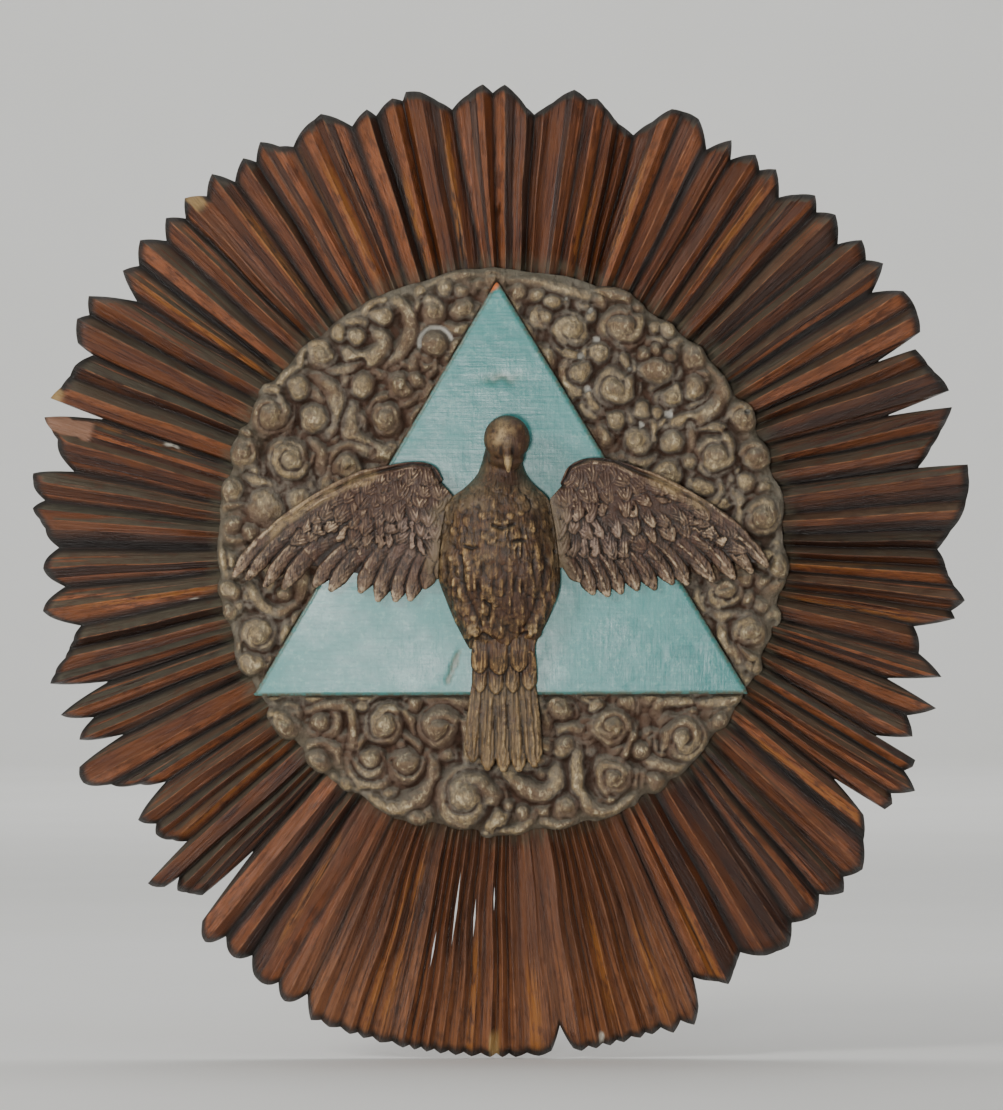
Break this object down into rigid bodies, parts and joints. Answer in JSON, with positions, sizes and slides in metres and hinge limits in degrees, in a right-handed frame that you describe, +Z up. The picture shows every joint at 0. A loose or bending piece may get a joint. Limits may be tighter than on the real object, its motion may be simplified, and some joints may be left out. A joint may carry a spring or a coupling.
{
  "type": "carved wooden plaque",
  "caption": "Round carved wooden wall plaque: ridged rays around a disc of cloud curls, with a painted triangle and a dove with spread wings.",
  "frame": {"origin": "middle of the medallion's flat back, where the plaque rests on the wall", "axes": "+Y out of the back towards the wall, -Y out of the carved face, +Z up, +X to the viewer's right"},
  "size_m": [0.7026, 0.077, 0.7307],
  "materials": {
    "varnished_rays": "dark red-brown stain under worn varnish, dusty",
    "cloud_wood": "grey-brown, dull and dusty",
    "painted_board": "pale blue-green paint, half gloss",
    "dove_wood": "golden brown glaze, half gloss",
    "wing_wood": "purplish brown glaze, half gloss"
  },
  "bodies": {
    "root": {"rays_top": "varnished_rays", "rays_right_upper": "varnished_rays", "rays_right_chipped": "varnished_rays", "rays_right": "varnished_rays", "rays_right_lower": "varnished_rays", "rays_right_low": "varnished_rays", "rays_bottom_right": "varnished_rays", "rays_bottom": "varnished_rays", "rays_bottom_left": "varnished_rays", "rays_left_lower": "varnished_rays", "rays_left": "varnished_rays", "cloud_disc": "cloud_wood", "triangle": "painted_board", "dove_body": "dove_wood", "dove_wing_left": "wing_wood", "dove_wing_right": "wing_wood"}
  },
  "joints": []
}
